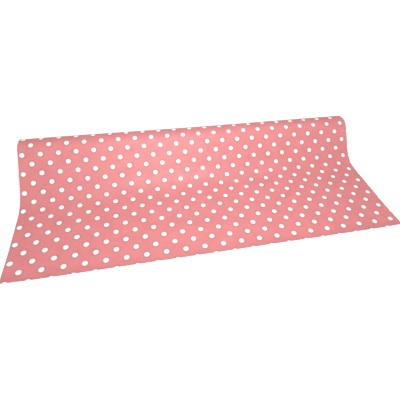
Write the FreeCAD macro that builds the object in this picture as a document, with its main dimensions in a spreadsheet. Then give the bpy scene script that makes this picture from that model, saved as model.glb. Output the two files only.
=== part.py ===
import FreeCAD, Part
import math
import os
import Sketcher
from FreeCAD import Vector

# A roll of wrapping paper lying on its side with its first stretch pulled off. The
# paper comes over the top of the roll, slopes down at the front, bends onto the
# surface and lies flat there up to its cut edge. It comes down less steeply at the
# left end, in a wider bend, than at the right.
# X runs along the roll, -Y is the way the paper is pulled and Z is up. The origin is
# at the bottom centre of the whole object. Lengths are millimetres, angles degrees.

sizes = {
    "web_width": 700.0,         # of the paper, edge to edge
    "roll_radius": 33.5,        # to the printed face of the outermost turn
    "drop_angle_left": 35.5,    # between the sloping paper and the surface
    "drop_angle_right": 47.5,
    "foot_radius_left": 102.4,  # of the bend onto the surface, at the printed face
    "foot_radius_right": 61.1,
    "cut_edge_reach": 267.5,    # from the roll's axis to the paper's cut edge
    "seam_angle": 18.0,         # from the roll's top forward to the outermost turn's start
    "turn_end_clearance": 12.5, # from where the steeper end leaves to the turn's end
    "sheet_thickness": 0.3,     # of the pulled-off paper and the outermost turn
    "turn_clearance": 0.3,      # between the outermost turn and the wound pack
    "core_bore_radius": 19.0,
    "ply_thickness": 0.7,       # of each of the core's three plies
    "glue_line": 0.05,          # between two plies, and between core and paper
    "core_overhang": 1.0,       # of the core past each edge of the paper
    "tape_width": 19.0,         # of a strip, along the roll
    "tape_angle": 100.0,        # of a strip, round the core
    "tape_thickness": 0.3,
    "tape_play": 0.1,           # between a strip and its recess in the pack
    "tape_inset": 60.0,         # from the paper's edge to an outer strip's middle
}

plies = ("inner", "middle", "outer")
stripSides = {"left": -1, "middle": 0, "right": 1}

# What the pieces share, as expressions on the size sheet. The radii run outwards, from
# the core's plies through the tape and the wound pack to the outermost turn. A tape
# strip lies over the top of the core, half its angle to each side.
plyStep = "(Sizes.ply_thickness + Sizes.glue_line)"
packInner = "(Sizes.core_bore_radius + %d * %s)" % (len(plies), plyStep)
tapeOuter = "(" + packInner + " + Sizes.tape_thickness)"
turnOuter = "Sizes.roll_radius"
turnInner = "(Sizes.roll_radius - Sizes.sheet_thickness)"
packOuter = "(" + turnInner + " - Sizes.turn_clearance)"
seamAngle = "90 + Sizes.seam_angle"
tapeEnds = ["90 - Sizes.tape_angle / 2", "90 + Sizes.tape_angle / 2"]
outerStripOffset = "(Sizes.web_width / 2 - Sizes.tape_inset)"
stripOffsets = {
    side: "%d * %s" % (step, outerStripOffset) for side, step in stripSides.items()
}

# What follows from the sizes. The outermost turn goes from the roll's top back and
# round, and ends short of where the paper leaves the roll. The reach is from the start of the foot bend back to the
# roll's axis: the two tangent lengths where the paper turns by the drop angle, less
# what its thickness takes off. The bend starts along a straight line from end to end,
# and the drop angle changes evenly, so the middle's foot radius follows from them.
reachFormula = (
    "=roll_radius / tan(drop_angle_%s / 2) + foot_radius_%s * tan(drop_angle_%s / 2)"
    " - sheet_thickness / tan(drop_angle_%s)"
)
derived = {
    "turn_angle": "=360 - max(drop_angle_left; drop_angle_right) - turn_end_clearance",
    "reach_left": reachFormula % (("left",) * 4),
    "reach_right": reachFormula % (("right",) * 4),
    "drop_angle_middle": "=(drop_angle_left + drop_angle_right) / 2",
    "reach_middle": "=(reach_left + reach_right) / 2",
    "foot_radius_middle": (
        "=(reach_middle - roll_radius / tan(drop_angle_middle / 2)"
        " + sheet_thickness / tan(drop_angle_middle)) / tan(drop_angle_middle / 2)"
    ),
}
stations = {"left": -1, "middle": 0, "right": 1}
axisBack = "(Sizes.cut_edge_reach - Sizes.roll_radius) / 2"


def addSizes(doc):
    table = doc.addObject("Spreadsheet::Sheet", "Sizes")
    for row, (name, value) in enumerate({**sizes, **derived}.items(), start=1):
        table.set("A%d" % row, name)
        table.set("B%d" % row, str(value))
        table.setAlias("B%d" % row, name)
    doc.recompute()
    return table


# A body whose own origin lies on the roll's axis, at the middle of its length.
def addBody(doc, name):
    body = doc.addObject("PartDesign::Body", name)
    body.Label = name
    body.setExpression("Placement.Base.y", axisBack)
    body.setExpression("Placement.Base.z", "Sizes.roll_radius")
    return body


# A sketch across the roll: its own x is the object's Y and its own y is Z.
def addCrossSketch(body, name):
    plane = [item for item in body.Origin.OriginFeatures if item.Role == "YZ_Plane"][0]
    sketch = body.newObject("Sketcher::SketchObject", name)
    sketch.AttachmentSupport = (plane, [""])
    sketch.MapMode = "FlatFace"
    return sketch


def bind(sketch, kind, references, expression):
    value = float(sketch.evalExpression(expression))
    if kind == "Angle":
        value = math.radians(value)
        expression = "(" + expression + ") * 1 deg"
    number = sketch.addConstraint(Sketcher.Constraint(kind, *references, value))
    sketch.setExpression("Constraints[%d]" % number, expression)


def join(sketch, kind, *references):
    sketch.addConstraint(Sketcher.Constraint(kind, *references))


def pointAt(radius, degrees, centre=Vector()):
    angle = math.radians(degrees)
    return centre + Vector(math.cos(angle), math.sin(angle), 0) * radius


def addArc(sketch, centre, radius, startDegrees, endDegrees):
    circle = Part.Circle(centre, Vector(0, 0, 1), radius)
    ends = math.radians(startDegrees), math.radians(endDegrees)
    return sketch.addGeometry(Part.ArcOfCircle(circle, *ends), False)


# A straight end between two arcs about the sketch's origin, pointing away from it.
def closeRadially(sketch, innerPoint, outerPoint, innerEnd, outerEnd, angle):
    edge = sketch.addGeometry(Part.LineSegment(innerPoint, outerPoint), False)
    join(sketch, "Coincident", edge, 1, *innerEnd)
    join(sketch, "Coincident", edge, 2, *outerEnd)
    join(sketch, "PointOnObject", -1, 1, edge)
    bind(sketch, "Angle", (edge,), angle)


# Runs a sketch's outline the same distance to both sides of its plane.
def addThrough(body, kind, name, sketch, length):
    feature = body.newObject(kind, name)
    feature.Profile = sketch
    feature.SideType = "Symmetric"
    feature.setExpression("Length", length)
    sketch.Visibility = False
    return feature


def addTube(doc, name, innerRadius, outerRadius, length):
    body = addBody(doc, name)
    sketch = addCrossSketch(body, name + "_ring")
    for radius in (innerRadius, outerRadius):
        size = float(sketch.evalExpression(radius))
        circle = sketch.addGeometry(Part.Circle(Vector(), Vector(0, 0, 1), size), False)
        join(sketch, "Coincident", circle, 3, -1, 1)
        bind(sketch, "Radius", (circle,), radius)
    addThrough(body, "PartDesign::Pad", name + "_length", sketch, length)
    return body


# An outline that covers part of a ring about the roll's axis, counterclockwise.
def drawRingPart(sketch, innerRadius, outerRadius, startAngle, endAngle):
    radii = [float(sketch.evalExpression(radius)) for radius in (innerRadius, outerRadius)]
    ends = [float(sketch.evalExpression(angle)) for angle in (startAngle, endAngle)]
    arcs = [addArc(sketch, Vector(), radius, *ends) for radius in radii]
    for arc, radius in zip(arcs, (innerRadius, outerRadius)):
        join(sketch, "Coincident", arc, 3, -1, 1)
        bind(sketch, "Radius", (arc,), radius)
    for end, angle in enumerate((startAngle, endAngle), start=1):
        points = [pointAt(radius, ends[end - 1]) for radius in radii]
        closeRadially(sketch, *points, (arcs[0], end), (arcs[1], end), angle)


# One face of the pulled-off paper in a section, from the start of the foot bend up to
# the seam on the roll.
def drawPaperFace(sketch, station, turnRadius, footRadius):
    def read(expression):
        return float(sketch.evalExpression(expression))

    drop, seam = read("Sizes.drop_angle_" + station), read("Sizes.seam_angle")
    footSize, turnSize = read(footRadius), read(turnRadius)
    level = read("Sizes.sheet_thickness - Sizes.roll_radius + Sizes.foot_radius_" + station)
    footCentre = Vector(-read("Sizes.reach_" + station), level, 0)
    foot = addArc(sketch, footCentre, footSize, -90, drop - 90)
    slopeEnds = pointAt(footSize, drop - 90, footCentre), pointAt(turnSize, 90 + drop)
    slope = sketch.addGeometry(Part.LineSegment(*slopeEnds), False)
    turn = addArc(sketch, Vector(), turnSize, 90 + seam, 90 + drop)
    join(sketch, "Tangent", foot, 2, slope, 1)
    join(sketch, "Tangent", slope, 2, turn, 2)
    join(sketch, "Vertical", foot, 1, foot, 3)
    join(sketch, "Coincident", turn, 3, -1, 1)
    bind(sketch, "Radius", (foot,), footRadius)
    bind(sketch, "Radius", (turn,), turnRadius)
    return foot, slope, turn


# A section across the pulled-off paper at one end of the roll or at its middle.
def addPaperSection(body, station):
    sketch = addCrossSketch(body, "paper_section_" + station)
    sketch.setExpression(
        "AttachmentOffset.Base.z", "%d * Sizes.web_width / 2" % stations[station])
    footRadius = "Sizes.foot_radius_" + station
    printed = drawPaperFace(sketch, station, turnOuter, footRadius)
    plain = drawPaperFace(sketch, station, turnInner, footRadius + " + Sizes.sheet_thickness")
    join(sketch, "Coincident", printed[0], 3, plain[0], 3)
    bind(sketch, "Angle", (printed[1],), "Sizes.drop_angle_" + station)
    bind(sketch, "DistanceY", (printed[0], 1, -1, 1), turnInner)
    feet = [pointAt(arc.Radius, -90, arc.Center) for arc in (
        sketch.Geometry[plain[0]], sketch.Geometry[printed[0]])]
    start = sketch.addGeometry(Part.LineSegment(*feet), False)
    join(sketch, "Coincident", start, 1, plain[0], 1)
    join(sketch, "Coincident", start, 2, printed[0], 1)
    seam = 90 + sizes["seam_angle"]
    radii = [float(sketch.evalExpression(radius)) for radius in (turnInner, turnOuter)]
    seamPoints = [pointAt(radius, seam) for radius in radii]
    closeRadially(sketch, *seamPoints, (plain[2], 1), (printed[2], 1), seamAngle)
    return sketch


# The paper that lies flat, seen from above, from its cut edge to the foot bend.
def addFlatOutline(body):
    plane = [item for item in body.Origin.OriginFeatures if item.Role == "XY_Plane"][0]
    sketch = body.newObject("Sketcher::SketchObject", "flat_outline")
    sketch.AttachmentSupport = (plane, [""])
    sketch.MapMode = "FlatFace"
    sketch.setExpression("AttachmentOffset.Base.z", "-Sizes.roll_radius")

    def corner(side, reach):
        return Vector(side * sizes["web_width"] / 2, -float(sketch.evalExpression(reach)), 0)

    cutReach = "Sizes.cut_edge_reach"
    corners = [
        corner(-1, cutReach), corner(1, cutReach),
        corner(1, "Sizes.reach_right"), corner(-1, "Sizes.reach_left"),
    ]
    edges = [
        sketch.addGeometry(Part.LineSegment(first, second), False)
        for first, second in zip(corners, corners[1:] + corners[:1])
    ]
    for edge, following in zip(edges, edges[1:] + edges[:1]):
        join(sketch, "Coincident", edge, 2, following, 1)
    cut, right, bend, left = edges
    join(sketch, "Horizontal", cut)
    join(sketch, "Vertical", right)
    join(sketch, "Vertical", left)
    bind(sketch, "DistanceX", (cut, 1, -1, 1), "Sizes.web_width / 2")
    bind(sketch, "DistanceX", (cut, 1, cut, 2), "Sizes.web_width")
    bind(sketch, "DistanceY", (cut, 1, -1, 1), cutReach)
    bind(sketch, "DistanceY", (bend, 1, -1, 1), "Sizes.reach_right")
    bind(sketch, "DistanceY", (bend, 2, -1, 1), "Sizes.reach_left")
    return sketch


# The stretch that has been pulled off the roll.
def addPulledSheet(doc):
    body = addBody(doc, "pulled_sheet")
    flat = body.newObject("PartDesign::Pad", "flat_thickness")
    flat.Profile = addFlatOutline(body)
    flat.setExpression("Length", "Sizes.sheet_thickness")
    flat.Profile[0].Visibility = False
    sections = [addPaperSection(body, station) for station in stations]
    doc.recompute()
    rise = body.newObject("PartDesign::AdditiveLoft", "paper_rise")
    rise.Profile = sections[0]
    rise.Sections = sections[1:]
    rise.Ruled = False
    for section in sections:
        section.Visibility = False
    return body


# The turn that the pulled-off stretch comes from, still round the roll.
def addOuterTurn(doc):
    body = addBody(doc, "outer_turn")
    sketch = addCrossSketch(body, "outer_turn_outline")
    drawRingPart(sketch, turnInner, turnOuter, "90 - Sizes.turn_angle", seamAngle)
    addThrough(body, "PartDesign::Pad", "outer_turn_width", sketch, "Sizes.web_width")
    return body


# The paper still wound up, with a shallow recess in its bore for each tape strip.
def addWoundPaper(doc):
    body = addTube(doc, "wound_paper", packInner, packOuter, "Sizes.web_width")
    playAngle = "Sizes.tape_play / " + packInner + " * 180 / pi"
    recessEnds = [tapeEnds[0] + " - " + playAngle, tapeEnds[1] + " + " + playAngle]
    recessFloor = tapeOuter + " + Sizes.tape_play"
    recessWidth = "Sizes.tape_width + 2 * Sizes.tape_play"
    for side, offset in stripOffsets.items():
        sketch = addCrossSketch(body, "recess_outline_" + side)
        sketch.setExpression("AttachmentOffset.Base.z", offset)
        drawRingPart(sketch, "Sizes.core_bore_radius", recessFloor, *recessEnds)
        addThrough(body, "PartDesign::Pocket", "recess_" + side, sketch, recessWidth)
    return body


# A strip that holds the paper's first end to the core.
def addTapeStrip(doc, side):
    body = addBody(doc, "start_tape_" + side)
    body.setExpression("Placement.Base.x", stripOffsets[side])
    sketch = addCrossSketch(body, "strip_outline_" + side)
    drawRingPart(sketch, packInner, tapeOuter, *tapeEnds)
    addThrough(body, "PartDesign::Pad", "strip_width_" + side, sketch, "Sizes.tape_width")
    return body


def addCorePly(doc, step):
    inner = "Sizes.core_bore_radius + %d * %s" % (step, plyStep)
    outer = inner + " + Sizes.ply_thickness"
    coreLength = "Sizes.web_width + 2 * Sizes.core_overhang"
    return addTube(doc, "core_" + plies[step] + "_ply", inner, outer, coreLength)


def buildPieces(doc):
    pieces = [addPulledSheet(doc), addOuterTurn(doc), addWoundPaper(doc)]
    pieces += [addTapeStrip(doc, side) for side in stripSides]
    pieces += [addCorePly(doc, step) for step in range(len(plies))]
    return pieces


# Each recess takes a tape strip's volume and a little more out of the plain tube.
def checkRecesses(doc):
    tube = doc.getObject("wound_paper_length").Shape.Volume
    strips = [doc.getObject("start_tape_" + side) for side in stripSides]
    taken = tube - doc.getObject("wound_paper").Shape.Volume
    needed = sum(strip.Shape.Volume for strip in strips)
    if not needed < taken < 2 * needed:
        raise RuntimeError("the tape recesses take %.1f mm3, not %.1f" % (taken, needed))


def checkModel(doc, pieces):
    for item in doc.Objects:
        if "Invalid" in item.State or "Error" in item.State:
            raise RuntimeError(item.Name + " did not compute: " + ", ".join(item.State))
        if item.TypeId == "Sketcher::SketchObject" and not item.FullyConstrained:
            raise RuntimeError(item.Name + " is not fully constrained")
    for piece in pieces:
        shape = piece.Shape
        if shape.isNull() or not shape.isValid() or len(shape.Solids) != 1:
            raise RuntimeError(piece.Label + " is not one valid solid")


def main():
    doc = FreeCAD.newDocument("wrapping_paper_roll")
    addSizes(doc)
    pieces = buildPieces(doc)
    doc.recompute()
    checkModel(doc, pieces)
    checkRecesses(doc)
    os.makedirs("parts", exist_ok=True)
    for piece in pieces:
        piece.Shape.exportStep(os.path.join("parts", piece.Label + ".step"))
        box = piece.Shape.BoundBox
        print("%-20s %8.1f mm3, Y %.2f to %.2f, Z %.2f to %.2f" % (
            piece.Label, piece.Shape.Volume, box.YMin, box.YMax, box.ZMin, box.ZMax))


main()
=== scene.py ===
import math
import random

import bmesh
import bpy
from mathutils import Matrix, Vector, noise


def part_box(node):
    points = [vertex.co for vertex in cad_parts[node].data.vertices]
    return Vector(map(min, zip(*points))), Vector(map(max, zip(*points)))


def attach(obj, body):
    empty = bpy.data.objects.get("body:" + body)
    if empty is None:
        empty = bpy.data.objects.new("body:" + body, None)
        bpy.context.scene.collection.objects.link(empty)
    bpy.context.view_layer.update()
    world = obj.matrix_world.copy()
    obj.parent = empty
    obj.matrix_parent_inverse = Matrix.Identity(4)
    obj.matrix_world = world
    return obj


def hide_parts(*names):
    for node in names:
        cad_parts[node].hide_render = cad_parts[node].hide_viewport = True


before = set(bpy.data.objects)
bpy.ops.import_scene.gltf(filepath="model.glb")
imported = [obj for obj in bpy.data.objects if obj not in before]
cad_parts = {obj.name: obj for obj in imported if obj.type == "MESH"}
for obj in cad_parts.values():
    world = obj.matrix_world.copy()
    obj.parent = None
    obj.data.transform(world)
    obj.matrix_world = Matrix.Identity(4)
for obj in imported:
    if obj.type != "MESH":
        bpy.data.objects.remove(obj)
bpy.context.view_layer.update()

# Places that every piece shares, taken from the parts in model.glb.
packLow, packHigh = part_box("wound_paper")
sheetLow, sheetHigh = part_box("pulled_sheet")
rollAxis = (packLow + packHigh) / 2
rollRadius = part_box("outer_turn")[1].z - rollAxis.z
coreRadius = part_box("core_outer_ply")[1].z - rollAxis.z
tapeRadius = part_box("start_tape_middle")[1].z - rollAxis.z
webWidth = sheetHigh.x - sheetLow.x

crispAngle = math.radians(40)  # from which a corner shades as a corner
noiseSpan = (0.3, 0.7)         # that nearly all of a noise texture lies in


def newPiece(name, bm, materials):
    data = bpy.data.meshes.new(name)
    bm.to_mesh(data)
    bm.free()
    for material in materials:
        data.materials.append(material)
    data.polygons.foreach_set("use_smooth", [True] * len(data.polygons))
    piece = bpy.data.objects.new(name, data)
    bpy.context.scene.collection.objects.link(piece)
    return piece


# Gives a piece its thickness, inwards from the face that is made. A second and a third
# material go on the far face and on the cut edges. Corners are made crisp, so that a
# cut edge doesn't shade the face beside it.
def giveThickness(piece, thickness):
    shell = piece.modifiers.new("thickness", "SOLIDIFY")
    shell.thickness = thickness
    shell.offset = -1
    if len(piece.data.materials) > 1:
        shell.material_offset = 1
        shell.material_offset_rim = 2
    graph = bpy.context.evaluated_depsgraph_get()
    made = bpy.data.meshes.new_from_object(piece.evaluated_get(graph))
    old = piece.data
    piece.modifiers.clear()
    piece.data = made
    made.name = piece.name
    bpy.data.meshes.remove(old)
    bm = bmesh.new()
    bm.from_mesh(made)
    for edge in bm.edges:
        edge.smooth = edge.calc_face_angle(0) < crispAngle
    bm.to_mesh(made)
    bm.free()


# What the finishes are put together from.

def newMaterial(name):
    material = bpy.data.materials.new(name)
    material.use_nodes = True
    tree = material.node_tree
    return material, tree, tree.nodes["Principled BSDF"]


def feed(tree, socket, value):
    if isinstance(value, bpy.types.NodeSocket):
        tree.links.new(value, socket)
    elif isinstance(value, tuple):  # a colour
        socket.default_value = (*value, 1)
    else:
        socket.default_value = value


def calculate(tree, operation, *values):
    node = tree.nodes.new("ShaderNodeMath")
    node.operation = operation
    for socket, value in zip(node.inputs, values):
        feed(tree, socket, value)
    return node.outputs[0]


def mixColors(tree, share, first, second, blend="MIX"):
    node = tree.nodes.new("ShaderNodeMix")
    node.data_type = "RGBA"
    node.blend_type = blend
    colorSockets = (node.inputs[0], node.inputs[6], node.inputs[7])
    for socket, value in zip(colorSockets, (share, first, second)):
        feed(tree, socket, value)
    return node.outputs[2]


def noiseAt(tree, place, scale, detail=3.0, rough=0.5):
    node = tree.nodes.new("ShaderNodeTexNoise")
    node.inputs["Scale"].default_value = scale
    node.inputs["Detail"].default_value = detail
    node.inputs["Roughness"].default_value = rough
    tree.links.new(place, node.inputs["Vector"])
    return node.outputs[0]


def remap(tree, value, low, high, newLow, newHigh):
    node = tree.nodes.new("ShaderNodeMapRange")
    for socket, number in zip(node.inputs[1:5], (low, high, newLow, newHigh)):
        socket.default_value = number
    tree.links.new(value, node.inputs[0])
    return node.outputs[0]


def stretched(tree, place, factors):
    node = tree.nodes.new("ShaderNodeMapping")
    node.inputs["Scale"].default_value = factors
    tree.links.new(place, node.inputs["Vector"])
    return node.outputs[0]


def addBump(tree, shader, height, strength, distance):
    node = tree.nodes.new("ShaderNodeBump")
    node.inputs["Strength"].default_value = strength
    node.inputs["Distance"].default_value = distance
    tree.links.new(height, node.inputs["Height"])
    tree.links.new(node.outputs[0], shader.inputs["Normal"])


def webPlace(tree):
    node = tree.nodes.new("ShaderNodeUVMap")
    node.uv_map = "web"
    return node.outputs[0]


def objectPlace(tree):
    return tree.nodes.new("ShaderNodeTexCoord").outputs["Object"]


# The printed face. Lengths are in metres on the flat web, from its left and cut edges,
# and a scale is how many patches of a noise go into a metre.
printing = {
    "ink": (0.602, 0.191, 0.209),
    "warmInk": (0.618, 0.206, 0.192),
    "tintScale": 95,
    "dot": (0.90, 0.855, 0.84),
    "dotShade": (0.87, 0.82, 0.80),
    "columnStep": 0.01655,    # half the distance between two dots of a row
    "rowStep": 0.01862,       # between two rows, which are staggered
    "dotRadius": 0.00440,
    "firstColumn": 0.00772,
    "firstRow": -0.00246,     # which the cut edge trims
    "softness": 0.0010,       # of a dot's outline
    "wobble": 0.00008,        # of a dot's outline
    "wobbleScale": 900,
    "rim": 0.0044,            # of greyer ink round a dot
    "rimTone": (0.78, 0.98, 0.98),
    "border": 0.0026,         # of duller ink along the paper's edges
    "borderTone": (0.84, 1.02, 1.05),
    "fullShare": 0.3,         # of the rim or border, before it fades
    "paintedShadeReach": 0.018,    # of painted shade, which darkens the ink towards the cut edge
    "paintedShadeTone": 0.90,
    "clouding": 0.045,
    "cloudScale": 34,
    "grain": 0.04,
    "grainScale": 1500,
    "gloss": (0.40, 0.50),    # roughness, along the coat's streaks
    "streakScale": 60,
    "streakStretch": (1.0, 0.15, 1.0),
    "specular": 0.26,
    "fibreScale": 1300,
    "fibreStretch": (1.0, 0.45, 1.0),
    "fibreBump": (0.25, 0.00006),  # strength and height
}


# How far a place on the web is from the middle of the nearest dot.
def dotDistance(tree, across, along):
    fromColumn = calculate(tree, "SUBTRACT", across, printing["firstColumn"])
    fromRow = calculate(tree, "SUBTRACT", along, printing["firstRow"])
    steps = ((fromColumn, printing["columnStep"]), (fromRow, printing["rowStep"]))
    nearest = None
    for shift in (0, 1):  # the second set of rows is half a cell on, both ways
        squares = []
        for place, step in steps:
            cells = calculate(tree, "MULTIPLY_ADD", place, 1 / (2 * step), 0.5 + shift / 2)
            inCell = calculate(tree, "SUBTRACT", calculate(tree, "FRACT", cells), 0.5)
            offset = calculate(tree, "MULTIPLY", inCell, 2 * step)
            squares.append(calculate(tree, "POWER", offset, 2))
        distance = calculate(tree, "SQRT", calculate(tree, "ADD", *squares))
        nearest = distance if nearest is None else calculate(tree, "MINIMUM", nearest, distance)
    return nearest


# How far a place on the web is from its left, right and cut edges.
def borderDistance(tree, across, along):
    fromRight = calculate(tree, "SUBTRACT", webWidth, across)
    sides = calculate(tree, "MINIMUM", across, fromRight)
    return calculate(tree, "MINIMUM", sides, along)


def makePrintedPaper():
    material, tree, shader = newMaterial("printedPaper")
    web = webPlace(tree)
    split = tree.nodes.new("ShaderNodeSeparateXYZ")
    tree.links.new(web, split.inputs[0])
    across, along = split.outputs[0], split.outputs[1]

    # Where a dot, its rim and the border are.
    limit = printing["wobble"]
    wobble = remap(tree, noiseAt(tree, web, printing["wobbleScale"]), *noiseSpan, -limit, limit)
    distance = calculate(tree, "ADD", dotDistance(tree, across, along), wobble)
    radius, soft = printing["dotRadius"], printing["softness"]
    rim, border, full = printing["rim"], printing["border"], printing["fullShare"]
    inDot = remap(tree, distance, radius - soft / 2, radius + soft / 2, 1, 0)
    nearDot = remap(tree, distance, radius + full * rim, radius + rim, 1, 0)
    nearBorder = remap(tree, borderDistance(tree, across, along), full * border, border, 1, 0)

    # The ink: two tints in patches as wide as a fingertip, and a density that clouds
    # over a few centimetres and goes over the paper's grain, with painted shade towards the cut
    # edge.
    tint = remap(tree, noiseAt(tree, web, printing["tintScale"]), 0.35, 0.65, 0, 1)
    ink = mixColors(tree, tint, printing["ink"], printing["warmInk"])
    clouding, graining = printing["clouding"], printing["grain"]
    clouds = noiseAt(tree, web, printing["cloudScale"], 4)
    cloud = remap(tree, clouds, *noiseSpan, 1 - clouding, 1 + clouding)
    grains = noiseAt(tree, web, printing["grainScale"], 2)
    grain = remap(tree, grains, *noiseSpan, 1 - graining, 1 + graining)
    # Painted shade: the ink is darker over the last 18 mm to the cut edge.
    paintedShade = remap(tree, along, 0, printing["paintedShadeReach"], printing["paintedShadeTone"], 1)
    strength = calculate(tree, "MULTIPLY", calculate(tree, "MULTIPLY", cloud, grain), paintedShade)
    inkWithPaintedShade = tree.nodes.new("ShaderNodeVectorMath")
    inkWithPaintedShade.operation = "SCALE"
    tree.links.new(ink, inkWithPaintedShade.inputs[0])
    tree.links.new(strength, inkWithPaintedShade.inputs["Scale"])
    rimmed = mixColors(tree, nearDot, inkWithPaintedShade.outputs[0], printing["rimTone"], "MULTIPLY")
    edged = mixColors(tree, nearBorder, rimmed, printing["borderTone"], "MULTIPLY")
    paper = mixColors(tree, grain, printing["dotShade"], printing["dot"])
    tree.links.new(mixColors(tree, inDot, edged, paper), shader.inputs["Base Color"])

    # The coat: satin, with faint lengthwise streaks, over fine fibres.
    fibrePlace = stretched(tree, web, printing["fibreStretch"])
    fibres = noiseAt(tree, fibrePlace, printing["fibreScale"], 4)
    streakPlace = stretched(tree, web, printing["streakStretch"])
    streaks = noiseAt(tree, streakPlace, printing["streakScale"])
    gloss = remap(tree, streaks, *noiseSpan, *printing["gloss"])
    tree.links.new(gloss, shader.inputs["Roughness"])
    shader.inputs["Specular IOR Level"].default_value = printing["specular"]
    addBump(tree, shader, fibres, *printing["fibreBump"])
    return material


paperBack = {
    "shade": (0.72, 0.69, 0.66),
    "light": (0.84, 0.82, 0.80),
    "cloudScale": 120,
    "strand": (0.62, 0.58, 0.54),
    "strandShare": 0.35,
    "fibreScale": 900,
    "fibreStretch": (1.0, 0.4, 1.0),
    "fibreBump": (0.4, 0.00009),
    "roughness": 0.82,
}


def makePlainPaper():
    material, tree, shader = newMaterial("plainPaperBack")
    web = webPlace(tree)
    cloud = noiseAt(tree, web, paperBack["cloudScale"], 5, 0.65)
    fibrePlace = stretched(tree, web, paperBack["fibreStretch"])
    fibres = noiseAt(tree, fibrePlace, paperBack["fibreScale"], 5, 0.6)
    base = mixColors(tree, cloud, paperBack["shade"], paperBack["light"])
    strands = remap(tree, fibres, 0.55, 0.75, 0, paperBack["strandShare"])
    color = mixColors(tree, strands, base, paperBack["strand"])
    tree.links.new(color, shader.inputs["Base Color"])
    shader.inputs["Roughness"].default_value = paperBack["roughness"]
    addBump(tree, shader, fibres, *paperBack["fibreBump"])
    return material


paperEdge = {
    "inked": (0.72, 0.50, 0.49),
    "bare": (0.88, 0.81, 0.79),
    "wearScale": 420,
    "fibreScale": 2500,
    "fibreBump": (0.3, 0.00008),
    "roughness": 0.88,
}


def makeCutEdge():
    material, tree, shader = newMaterial("cutPaperEdge")
    place = objectPlace(tree)
    wear = noiseAt(tree, place, paperEdge["wearScale"])
    color = mixColors(tree, wear, paperEdge["inked"], paperEdge["bare"])
    tree.links.new(color, shader.inputs["Base Color"])
    shader.inputs["Roughness"].default_value = paperEdge["roughness"]
    fibres = noiseAt(tree, place, paperEdge["fibreScale"], 2)
    addBump(tree, shader, fibres, *paperEdge["fibreBump"])
    return material


board = {
    "grey": ((0.30, 0.27, 0.23), (0.48, 0.44, 0.39)),  # shade and light
    "kraft": ((0.36, 0.23, 0.13), (0.55, 0.39, 0.25)),
    "stretch": (0.6, 1, 1),
    "pulpScale": 160,
    "fleck": (0.16, 0.13, 0.11),
    "fleckShare": 0.6,
    "fleckScale": 700,
    "fibreScale": 1400,
    "fibreBump": (0.5, 0.00015),
    "roughness": 0.9,
}


# The shift moves the pulp's pattern along the tube, so that two boards differ.
def makeBoard(name, tones, shift):
    material, tree, shader = newMaterial(name)
    place = stretched(tree, objectPlace(tree), board["stretch"])
    place.node.inputs["Location"].default_value = (shift, 0, 0)
    pulp = noiseAt(tree, place, board["pulpScale"], 6, 0.7)
    specks = noiseAt(tree, place, board["fleckScale"], 2)
    flecks = remap(tree, specks, 0.66, 0.74, 0, board["fleckShare"])
    base = mixColors(tree, remap(tree, pulp, *noiseSpan, 0, 1), *tones)
    tree.links.new(mixColors(tree, flecks, base, board["fleck"]), shader.inputs["Base Color"])
    shader.inputs["Roughness"].default_value = board["roughness"]
    fibres = noiseAt(tree, place, board["fibreScale"], 5, 0.65)
    addBump(tree, shader, fibres, *board["fibreBump"])
    return material


film = {
    "shade": (0.74, 0.70, 0.58),
    "light": (0.86, 0.84, 0.76),
    "stretch": (4, 0.3, 0.3),
    "streakScale": 300,
    "gloss": (0.28, 0.42),
    "clearness": 0.25,
}


def makeTapeFilm():
    material, tree, shader = newMaterial("startTapeFilm")
    place = stretched(tree, objectPlace(tree), film["stretch"])
    streaks = noiseAt(tree, place, film["streakScale"])
    color = mixColors(tree, streaks, film["shade"], film["light"])
    tree.links.new(color, shader.inputs["Base Color"])
    gloss = remap(tree, streaks, *noiseSpan, *film["gloss"])
    tree.links.new(gloss, shader.inputs["Roughness"])
    shader.inputs["Transmission Weight"].default_value = film["clearness"]
    return material


printedPaper = makePrintedPaper()
plainPaper = makePlainPaper()
cutEdge = makeCutEdge()
greyBoard = makeBoard("greyBoard", board["grey"], 0.3)
kraftBoard = makeBoard("kraftBoard", board["kraft"], 0.7)
tapeFilm = makeTapeFilm()
print("materials made")


# The pulled-off paper, with the turn round the roll that it comes from.
sheetShape = {
    "dropAngles": (35.5, 47.5),      # degrees, at the left end and the right
    "footRadii": (0.1024, 0.0611),   # of the bend onto the floor
    "paperThickness": 0.0001,
    "turnAngle": 340,                # degrees from the roll's top, back and round to the end
    "turnTightening": 0.0003,        # of the radius over that turn, so that the end is tucked in
    "slackAtLeft": 0.0022,           # that the turn stands off the pack
    "slackRise": (-0.03, 0.02),      # from where the slope meets the roll
    "slackFall": (0.06, 0.12),
    "slackShare": 0.6,               # of the width, over which it goes
    "cellAcross": 0.005,
    "cellAlong": 0.003,
    "cornerCurl": 0.0024,
    "cornerReach": 0.055,
    "cornerStretch": 0.9,            # of that reach, across against along
    "wave": 0.0003,
    "waveLevel": 0.8,                # above which the waves swell and under which they dip
    "waveRates": (6, 5),             # across and along, per metre
    "rippleRates": (16, 9),
    "rippleShare": 0.35,
    "seed": 7,
}


def smooth(value, low, high):
    share = min(max((value - low) / (high - low), 0), 1)
    return share * share * (3 - 2 * share)


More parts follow.
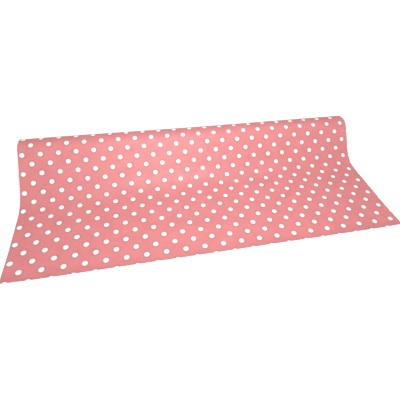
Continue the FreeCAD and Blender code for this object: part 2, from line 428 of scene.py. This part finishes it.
# The lengths of the paper's stretches at a share of its width, as the printed face
# goes: flat, foot bend, slope and turn, with the bend's radius and the drop angle.
def stretches(share):
    level = sheetShape["paperThickness"]
    drops = [math.radians(angle) for angle in sheetShape["dropAngles"]]
    reaches = [
        rollRadius / math.tan(drop / 2) + foot * math.tan(drop / 2) - level / math.tan(drop)
        for drop, foot in zip(drops, sheetShape["footRadii"])
    ]
    drop = drops[0] + (drops[1] - drops[0]) * share
    reach = reaches[0] + (reaches[1] - reaches[0]) * share
    half = math.tan(drop / 2)
    foot = (reach - rollRadius / half + level / math.tan(drop)) / half
    rise = rollRadius * (1 + math.cos(drop)) - level - foot * (1 - math.cos(drop))
    flat = rollAxis.y - sheetLow.y - reach
    turn = rollRadius * (drop + math.radians(sheetShape["turnAngle"]))
    return flat, foot * drop, rise / math.sin(drop), turn, foot, drop


# Where the printed face is, and which way it faces, at a length from the cut edge.
def sheetLine(parts, length):
    flat, bend, slope, _, foot, drop = parts
    level = sheetShape["paperThickness"]
    if length < flat:
        return sheetLow.y + length, level, 0, 1
    length -= flat
    bent = min(length / foot, drop)
    y = sheetLow.y + flat + foot * math.sin(bent)
    z = level + foot * (1 - math.cos(bent))
    if length < bend + slope:
        past = max(length - bend, 0)
        y += past * math.cos(drop)
        z += past * math.sin(drop)
        return y, z, -math.sin(bent), math.cos(bent)
    turned = (length - bend - slope) / rollRadius
    radius = rollRadius - sheetShape["turnTightening"] * smooth(turned, math.pi, 2 * math.pi)
    angle = math.pi / 2 + drop - turned
    outY, outZ = math.cos(angle), math.sin(angle)
    return rollAxis.y + radius * outY, rollAxis.z + radius * outZ, outY, outZ


# How far the paper stands off its line: slack waves on the floor, corners that curl
# up, and a turn that is a little loose at the left end.
def standOff(parts, across, length):
    flat, bend, slope = parts[:3]
    onRoll = flat + bend + slope
    rate, seed = sheetShape["waveRates"], sheetShape["seed"]
    waves = noise.noise(Vector((across * rate[0], length * rate[1], seed)))
    rate = sheetShape["rippleRates"]
    ripple = noise.noise(Vector((across * rate[0], length * rate[1], 3 + seed)))
    swell = max(sheetShape["waveLevel"] + waves + sheetShape["rippleShare"] * ripple, 0)
    onFloor = 1 - smooth(length, flat + bend, onRoll)
    wave = sheetShape["wave"] * swell * onFloor
    curl = 0
    for corner in (0, webWidth):
        away = math.hypot(across - corner, length * sheetShape["cornerStretch"])
        curl += sheetShape["cornerCurl"] * (1 - smooth(away, 0, sheetShape["cornerReach"]))
    rises = smooth(length - onRoll, *sheetShape["slackRise"])
    falls = smooth(length - onRoll, *sheetShape["slackFall"])
    fades = smooth(across, 0, webWidth * sheetShape["slackShare"])
    slack = sheetShape["slackAtLeft"] * rises * (1 - falls) * (1 - fades)
    return wave + curl + slack


def makeSheet():
    bm = bmesh.new()
    uvLayer = bm.loops.layers.uv.new("web")
    cellsAcross = round(webWidth / sheetShape["cellAcross"])
    cellsAlong = round(sheetLength / sheetShape["cellAlong"])
    bmesh.ops.create_grid(bm, x_segments=cellsAcross, y_segments=cellsAlong, size=0.5)
    for face in bm.faces:
        for loop in face.loops:
            share = loop.vert.co
            loop[uvLayer].uv = ((share.x + 0.5) * webWidth, (share.y + 0.5) * sheetLength)
    for vert in bm.verts:
        share, length = vert.co.x + 0.5, (vert.co.y + 0.5) * sheetLength
        parts = stretches(share)
        y, z, outY, outZ = sheetLine(parts, length)
        off = standOff(parts, share * webWidth, length)
        vert.co = ((share - 0.5) * webWidth, y + off * outY, z + off * outZ)
    sheet = newPiece("pulled_paper", bm, [printedPaper, plainPaper, cutEdge])
    giveThickness(sheet, sheetShape["paperThickness"])
    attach(sheet, "sheet")
    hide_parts("pulled_sheet", "outer_turn")
    return sheet


sheetLength = sum(stretches(0.5)[:4])
pulledPaper = makeSheet()
print("pulled paper made,", round(sheetLength, 3), "m long")


# The pack that is still wound: one strip in a spiral, from its outermost turn inwards.
packShape = {
    "pitch": 0.00009,
    "paperThickness": 0.00007,
    "outerRadius": 0.03295,
    "tapeGap": 0.0001,       # between the innermost turn and the tape
    "stepsPerTurn": 72,
    "edgeInset": 0.001,      # of the turns' edges from the pulled-off paper's
    "turnWander": 0.00015,   # of a turn's edge from its neighbour's
    "slowWander": 0.0009,    # of the edges over many turns
    "slowRate": 0.11,        # of that, per turn
    "slowPlace": (2.3, 0.7),
    "seed": 11,
}
stepAngle = math.tau / packShape["stepsPerTurn"]


# The paper's length from the pack's outer end to one of the spiral's steps.
def woundLength(step):
    turned = step * stepAngle
    return turned * (packShape["outerRadius"] - packShape["pitch"] * turned / math.tau / 2)


def makePack():
    innerRadius = tapeRadius + packShape["tapeGap"]
    turns = int((packShape["outerRadius"] - innerRadius) / packShape["pitch"])
    steps = turns * packShape["stepsPerTurn"]
    chance = random.Random(packShape["seed"])
    jitter = [chance.uniform(-1, 1) for _ in range(turns + 2)]
    bm = bmesh.new()
    uvLayer = bm.loops.layers.uv.new("web")
    bmesh.ops.create_grid(bm, x_segments=1, y_segments=steps, size=0.5)
    for face in bm.faces:
        for loop in face.loops:
            share = loop.vert.co
            step = round((share.y + 0.5) * steps)
            loop[uvLayer].uv = ((share.x + 0.5) * webWidth, sheetLength + woundLength(step))
    rate = packShape["slowRate"]
    for vert in bm.verts:
        step = round((vert.co.y + 0.5) * steps)
        turn, part = divmod(step / packShape["stepsPerTurn"], 1)
        turn = int(turn)
        between = jitter[turn] * (1 - part) + jitter[turn + 1] * part
        drift = noise.noise(Vector((turn * rate + part * rate, *packShape["slowPlace"])))
        wander = packShape["turnWander"] * between + packShape["slowWander"] * drift
        radius = packShape["outerRadius"] - packShape["pitch"] * step / packShape["stepsPerTurn"]
        angle = -step * stepAngle
        side = math.copysign(webWidth / 2 - packShape["edgeInset"], vert.co.x)
        y = rollAxis.y + radius * math.cos(angle)
        z = rollAxis.z + radius * math.sin(angle)
        vert.co = (side + wander, y, z)
    pack = newPiece("wound_pack", bm, [printedPaper, plainPaper, cutEdge])
    giveThickness(pack, packShape["paperThickness"])
    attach(pack, "roll")
    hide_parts("wound_paper")
    return pack, woundLength(steps)


woundPack, packLength = makePack()
packFaces = len(woundPack.data.polygons)
print("wound pack made,", round(packLength, 2), "m of paper,", packFaces, "faces")


# The core's plies: strips of board wound in a spiral, edge to edge.
coreShape = {
    "seam": 0.0004,
    "stepsPerTurn": 64,
    "stripWidths": (0.066, 0.071, 0.074),  # along the tube, inner ply first
    "cellsAcross": 4,
    "overrun": 1.5,                        # turns wound before the tube's end, then cut off
    "stagger": 0.3,                        # turns that each ply's seam lies behind the last's
    "spareTurns": 3,
    "thickness": 0.00068,
}


def makePly(place, order, material):
    node = "core_%s_ply" % place
    low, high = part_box(node)
    outer = high.z - rollAxis.z
    pitch = coreShape["stripWidths"][order]
    steps, cells = coreShape["stepsPerTurn"], coreShape["cellsAcross"]
    turns = math.ceil((high.x - low.x) / pitch) + coreShape["spareTurns"]
    start = low.x - pitch * (coreShape["overrun"] + coreShape["stagger"] * order)
    cell = (pitch - coreShape["seam"]) / cells
    bm = bmesh.new()
    line = [
        bm.verts.new((start + step * cell, rollAxis.y, rollAxis.z + outer))
        for step in range(cells + 1)
    ]
    edges = [bm.edges.new(pair) for pair in zip(line, line[1:])]
    bmesh.ops.spin(
        bm, geom=line + edges, cent=rollAxis, axis=(1, 0, 0), angle=math.tau * turns,
        dvec=(pitch / steps, 0, 0), steps=steps * turns, use_merge=False,
        use_normal_flip=False, use_duplicate=False,
    )
    for x, outward in ((low.x, (-1, 0, 0)), (high.x, (1, 0, 0))):
        bmesh.ops.bisect_plane(
            bm, geom=bm.verts[:] + bm.edges[:] + bm.faces[:], plane_co=(x, 0, 0),
            plane_no=outward, clear_outer=True,
        )
    bmesh.ops.recalc_face_normals(bm, faces=bm.faces)
    bm.faces.ensure_lookup_table()
    probe = bm.faces[0]
    fromAxis = probe.calc_center_median() - rollAxis
    fromAxis.x = 0
    if probe.normal.dot(fromAxis) < 0:
        bmesh.ops.reverse_faces(bm, faces=bm.faces)
    ply = newPiece("core_strip_" + place, bm, [material])
    giveThickness(ply, coreShape["thickness"])
    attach(ply, "roll")
    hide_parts(node)


makePly("inner", 0, greyBoard)
makePly("middle", 1, greyBoard)
makePly("outer", 2, kraftBoard)
print("core plies made")


# The tape that holds the paper's first end to the core, torn off along toothed ends.
tapeShape = {
    "thickness": 0.00006,
    "coreGap": 0.00012,    # from the core to the tape's outer face
    "teeth": 12,
    "toothDepth": 0.0006,
    "cellsRound": 24,
}


def makeTapeStrip(side):
    node = "start_tape_" + side
    low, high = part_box(node)
    width = high.x - low.x
    reach = math.asin((high.y - low.y) / 2 / tapeRadius)
    radius = coreRadius + tapeShape["coreGap"]
    cellsAcross = 2 * tapeShape["teeth"]
    bm = bmesh.new()
    bmesh.ops.create_grid(
        bm, x_segments=cellsAcross, y_segments=tapeShape["cellsRound"], size=0.5,
    )
    for vert in bm.verts:
        cell = round((vert.co.x + 0.5) * cellsAcross)
        notch = tapeShape["toothDepth"] / radius if cell % 2 else 0
        angle = math.pi / 2 - vert.co.y * 2 * (reach - notch)
        vert.co = (
            (low.x + high.x) / 2 + vert.co.x * width,
            rollAxis.y + radius * math.cos(angle),
            rollAxis.z + radius * math.sin(angle),
        )
    strip = newPiece("tape_strip_" + side, bm, [tapeFilm])
    giveThickness(strip, tapeShape["thickness"])
    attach(strip, "roll")
    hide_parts(node)


for side in ("left", "middle", "right"):
    makeTapeStrip(side)
print("tape strips made")


# The floor, the light and the camera.
studio = {
    "floorTone": 0.93,
    "floorSize": 4,
    "floorDrop": 0.00005,          # under the paper, so that they don't share a face
    "floorGlow": (0.26, 0.9),      # near the roll and far from it
    "glowReach": (0.35, 1.2),
    "worldStrength": 0.33,         # as light on the roll
    "backdropTone": 0.96,          # as seen behind it
    "lamps": {                     # place, aim, width, depth, watts
        "key": ((0.0, -0.14, 0.78), (0.0, -0.04, 0.0), 0.35, 0.35, 6.05),
        "front": ((0.04, -0.78, 0.70), (0.02, 0.02, 0.03), 1.5, 0.4, 4.2),
    },
}


def makeFloor():
    material, tree, shader = newMaterial("studioFloor")
    tone = studio["floorTone"]
    shader.inputs["Base Color"].default_value = (tone, tone, tone, 1)
    shader.inputs["Roughness"].default_value = 0.9
    shader.inputs["Specular IOR Level"].default_value = 0.1
    shader.inputs["Emission Color"].default_value = (1, 1, 1, 1)
    away = tree.nodes.new("ShaderNodeVectorMath")
    away.operation = "LENGTH"
    tree.links.new(objectPlace(tree), away.inputs[0])
    glow = remap(tree, away.outputs["Value"], *studio["glowReach"], *studio["floorGlow"])
    tree.links.new(glow, shader.inputs["Emission Strength"])
    bm = bmesh.new()
    bmesh.ops.create_grid(bm, x_segments=8, y_segments=8, size=studio["floorSize"])
    bmesh.ops.translate(bm, verts=bm.verts, vec=(0, 0, -studio["floorDrop"]))
    newPiece("floor", bm, [material])


def makeLights():
    world = bpy.data.worlds.new("studio")
    world.use_nodes = True
    tree = world.node_tree
    backdrop = tree.nodes["Background"]
    backdrop.inputs["Color"].default_value = (1, 1, 1, 1)
    seen = tree.nodes.new("ShaderNodeLightPath").outputs["Is Camera Ray"]
    strength = remap(tree, seen, 0, 1, studio["worldStrength"], studio["backdropTone"])
    tree.links.new(strength, backdrop.inputs["Strength"])
    bpy.context.scene.world = world
    for name, (place, aim, width, depth, watts) in studio["lamps"].items():
        light = bpy.data.lights.new(name, "AREA")
        light.shape = "RECTANGLE"
        light.size = width
        light.size_y = depth
        light.energy = watts
        lamp = bpy.data.objects.new(name, light)
        lamp.location = place
        lamp.rotation_euler = (Vector(aim) - Vector(place)).to_track_quat("-Z", "Y").to_euler()
        bpy.context.scene.collection.objects.link(lamp)


cameraPlace = {
    "lens": 26.9,
    "elevation": 46.73,
    "azimuth": -13.79,
    "tilt": 3.33,           # counterclockwise, about the line of sight
    "distance": 0.5901,
    "target": (-0.0148, -0.0262, 0.0),
}


def makeCamera():
    data = bpy.data.cameras.new("camera")
    data.lens = cameraPlace["lens"]
    camera = bpy.data.objects.new("camera", data)
    raised = math.radians(cameraPlace["elevation"])
    around = math.radians(cameraPlace["azimuth"])
    level = math.cos(raised)
    back = Vector((math.sin(around) * level, -math.cos(around) * level, math.sin(raised)))
    turn = (-back).to_track_quat("-Z", "Y").to_matrix().to_4x4()
    tilt = Matrix.Rotation(math.radians(cameraPlace["tilt"]), 4, "Z")
    place = Matrix.Translation(Vector(cameraPlace["target"]) + back * cameraPlace["distance"])
    camera.matrix_world = place @ turn @ tilt
    bpy.context.scene.collection.objects.link(camera)
    bpy.context.scene.camera = camera


makeFloor()
makeLights()
makeCamera()
bpy.context.scene.view_settings.view_transform = "Standard"
print("studio made")
